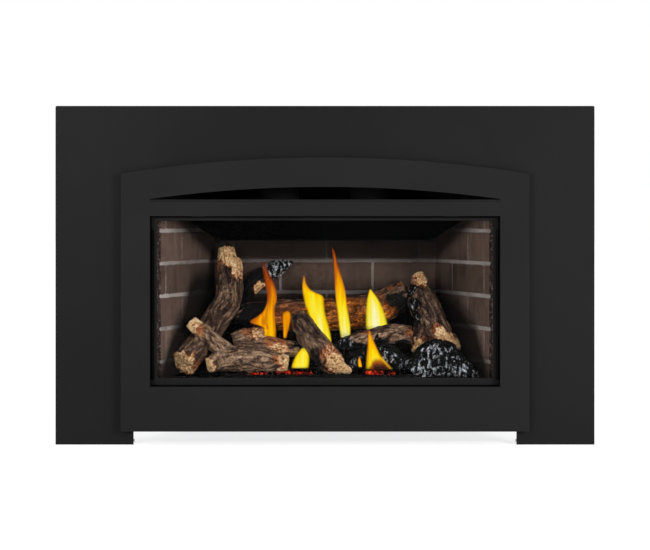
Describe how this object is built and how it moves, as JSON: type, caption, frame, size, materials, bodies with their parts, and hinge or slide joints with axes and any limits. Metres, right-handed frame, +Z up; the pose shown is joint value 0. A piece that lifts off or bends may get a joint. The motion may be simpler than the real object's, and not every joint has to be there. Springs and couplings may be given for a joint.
{
  "type": "fireplace insert",
  "caption": "Gas fireplace insert: black three-sided surround, arched lift-off front, tilting glass door, brick-lined firebox with ceramic logs, controls and fan.",
  "frame": {"origin": "middle of the footprint, on the hearth", "axes": "+X to the right seen from the room, +Y from the room into the chimney, +Z up"},
  "size_m": [1.067, 0.417, 0.6705],
  "materials": {
    "surround_black": "fine-grained matt black powder coat",
    "faceplate_black": "satin black powder coat",
    "door_black": "satin black heat-proof paint",
    "firebox_black": "matt black heat-proof paint",
    "baffle_black": "dead black heat-proof paint",
    "burner_black": "black enamelled steel, dusty",
    "galvanised": "galvanised sheet",
    "zinc_screws": "zinc plated",
    "spring_steel": "bright spring steel",
    "magnet_steel": "nickel plated",
    "liner_brick": "cast brick-pattern fibre panel, dark brown brick and grey joints",
    "door_glass": "clear ceramic glass",
    "gasket_rope": "black glass-fibre rope",
    "ember": "glowing fibre lumps",
    "log_bark": "cast and painted ceramic fibre bark with tan ends",
    "log_char": "painted char with white ash",
    "brass_fittings": "dull brass and coated pipe",
    "valve_body": "die-cast",
    "knob_plastic": "matt black moulding",
    "button_red": "red moulding",
    "impeller_metal": "bright sheet",
    "motor_black": "black varnished"
  },
  "bodies": {
    "insert": {"surround_panel": "surround_black", "surround_brackets": "galvanised", "front_support_ledges": "firebox_black", "casing_base": "galvanised", "casing_left_side": "galvanised", "casing_right_side": "galvanised", "casing_back": "galvanised", "casing_top": "galvanised", "cabinet_screws": "zinc_screws", "levelling_bolts": "zinc_screws", "firebox_floor": "firebox_black", "firebox_left_wall": "firebox_black", "firebox_right_wall": "firebox_black", "firebox_back_wall": "firebox_black", "firebox_top": "firebox_black", "firebox_front_frame": "firebox_black", "firebox_supports": "galvanised", "ceiling_baffle": "baffle_black", "exhaust_collar": "galvanised", "intake_collar": "galvanised", "brick_panel_left": "liner_brick", "brick_panel_right": "liner_brick", "brick_panel_back": "liner_brick", "brick_clips": "firebox_black", "door_hinge_pins": "firebox_black", "door_catches": "spring_steel", "burner_tray": "burner_black", "mixing_tube": "galvanised", "burner_manifold": "brass_fittings", "pilot_assembly": "spring_steel", "log_grate": "burner_black", "ember_bed": "ember", "rear_long_log": "log_bark", "left_upright_log": "log_bark", "back_left_branch": "log_char", "front_fork_log": "log_bark", "middle_split_log": "log_bark", "centre_lean_log": "log_bark", "right_fork_log": "log_bark", "char_lumps": "log_char", "right_cross_log": "log_bark", "control_panel": "galvanised", "gas_valve": "valve_body", "igniter_barrel": "knob_plastic", "switch_body": "knob_plastic", "gas_supply_pipe": "brass_fittings", "blower_housing": "galvanised", "blower_motor": "motor_black"},
    "front": {"front_faceplate": "faceplate_black", "front_magnets": "magnet_steel"},
    "door": {"door_frame": "door_black", "door_glass": "door_glass", "glass_retainer": "door_black", "door_gasket": "gasket_rope"},
    "gas_knob": {"gas_control_knob": "knob_plastic"},
    "flame_knob": {"flame_height_knob": "knob_plastic"},
    "igniter": {"igniter_button": "button_red"},
    "rocker": {"switch_rocker": "knob_plastic"},
    "shutoff": {"shutoff_lever": "valve_body"},
    "impeller": {"blower_impeller": "impeller_metal"}
  },
  "joints": [
    {"name": "front_pull", "type": "slide", "parent": "insert", "child": "front", "axis": [0, -1, 0], "range_m": [0, 0.3]},
    {"name": "door_tilt", "type": "hinge", "parent": "insert", "child": "door", "pos_m": [0, -0.1825, 0.121], "axis": [1, 0, 0], "range_deg": [0, 35]},
    {"name": "gas_knob_turn", "type": "hinge", "parent": "insert", "child": "gas_knob", "pos_m": [-0.095, -0.1735, 0.068], "axis": [0, -1, 0], "range_deg": [0, 110]},
    {"name": "flame_knob_turn", "type": "hinge", "parent": "insert", "child": "flame_knob", "pos_m": [-0.04, -0.1735, 0.068], "axis": [0, -1, 0], "range_deg": [0, 150]},
    {"name": "igniter_press", "type": "slide", "parent": "insert", "child": "igniter", "axis": [0, 1, 0], "range_m": [0, 0.004], "stiffness_N_per_m": 500},
    {"name": "fan_switch_tip", "type": "hinge", "parent": "insert", "child": "rocker", "pos_m": [0.085, -0.1585, 0.068], "axis": [1, 0, 0], "range_deg": [-8, 8]},
    {"name": "shutoff_turn", "type": "hinge", "parent": "insert", "child": "shutoff", "pos_m": [-0.285, -0.1135, 0.06], "axis": [0, -1, 0], "range_deg": [0, 90]},
    {"name": "fan_spin", "type": "hinge", "parent": "insert", "child": "impeller", "pos_m": [0, 0.1525, 0.074], "axis": [1, 0, 0], "continuous": true}
  ]
}
